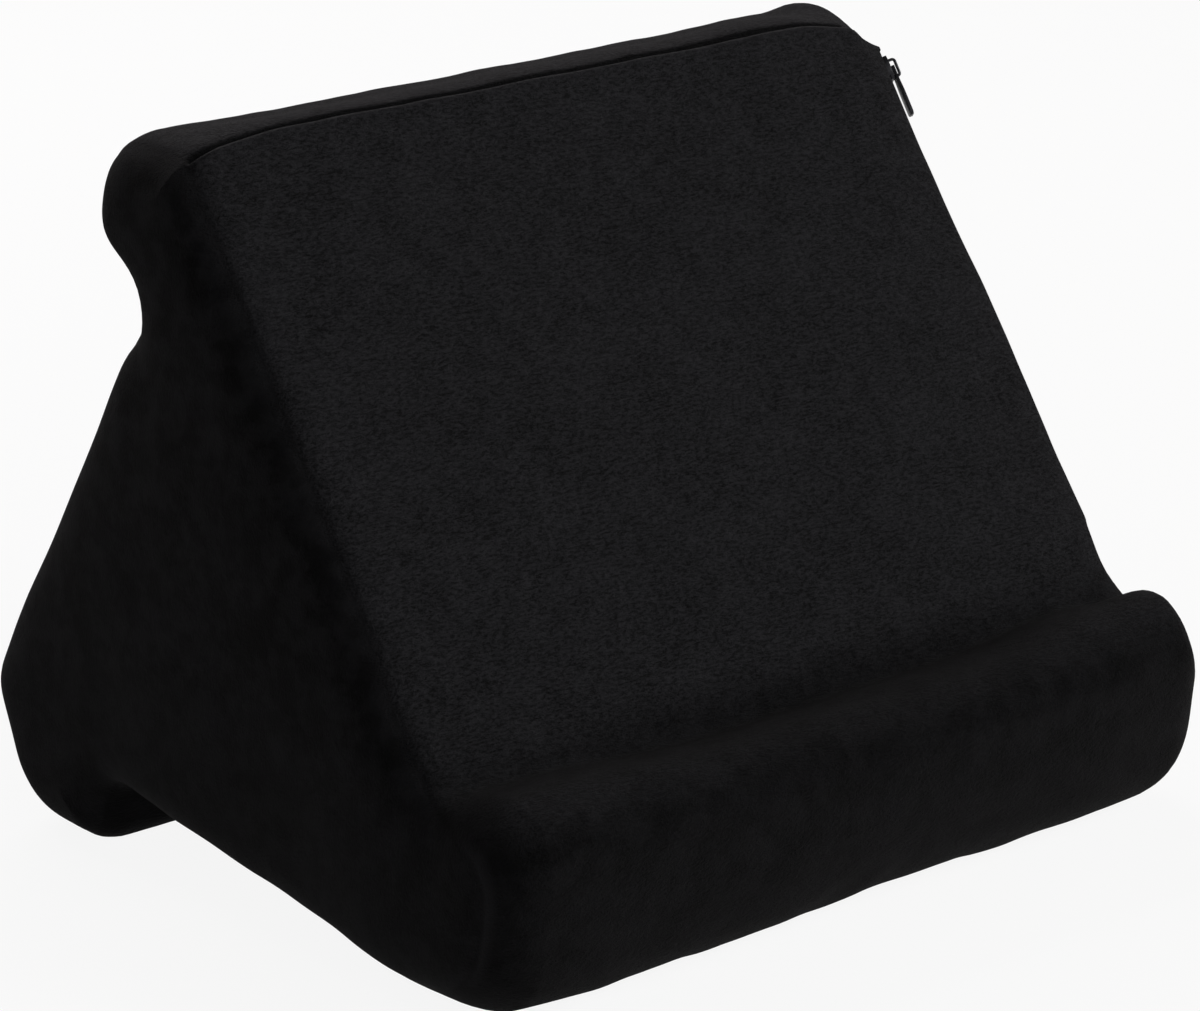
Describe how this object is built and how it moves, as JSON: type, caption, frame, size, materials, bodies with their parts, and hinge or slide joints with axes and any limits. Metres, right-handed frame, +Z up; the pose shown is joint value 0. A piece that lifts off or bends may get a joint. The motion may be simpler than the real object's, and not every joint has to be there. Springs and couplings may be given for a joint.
{
  "type": "tablet cushion stand",
  "caption": "Plush-covered foam wedge with a sloping face and a padded ledge that props up a tablet; a zip runs down one edge of the face.",
  "frame": {"origin": "under the middle of the stand, on the table, at the centre of its footprint box", "axes": "+X runs to the right along the width as seen from the front, +Y runs back from the ledge to the foot, +Z is up"},
  "size_m": [0.2771, 0.2662, 0.2285],
  "materials": {
    "plush": "short-pile black plush with a soft sheen",
    "zip_tape": "woven black tape",
    "zip_coil": "black monofilament coil",
    "black_metal": "black-plated metal, smooth",
    "foam": null
  },
  "bodies": {
    "cushion": {"foam_core": "foam", "cover_band": "plush", "cover_end_left": "plush", "cover_end_right": "plush", "zip_tape_front": "zip_tape", "zip_tape_side": "zip_tape", "zip_coil_front": "zip_coil", "zip_coil_side": "zip_coil", "zip_stop_top": "black_metal", "zip_stop_bottom": "black_metal"},
    "slider": {"zip_slider": "black_metal"},
    "pull": {"zip_pull": "black_metal"}
  },
  "joints": [
    {"name": "zip_slide", "type": "slide", "parent": "cushion", "child": "slider", "axis": [0, -0.5344, -0.8453], "range_m": [0, 0.152]},
    {"name": "pull_hinge", "type": "hinge", "parent": "slider", "child": "pull", "pos_m": [0.13728, 0.00928, 0.21213], "axis": [-0.5, -0.732, 0.4628], "range_deg": [0, 170]}
  ]
}
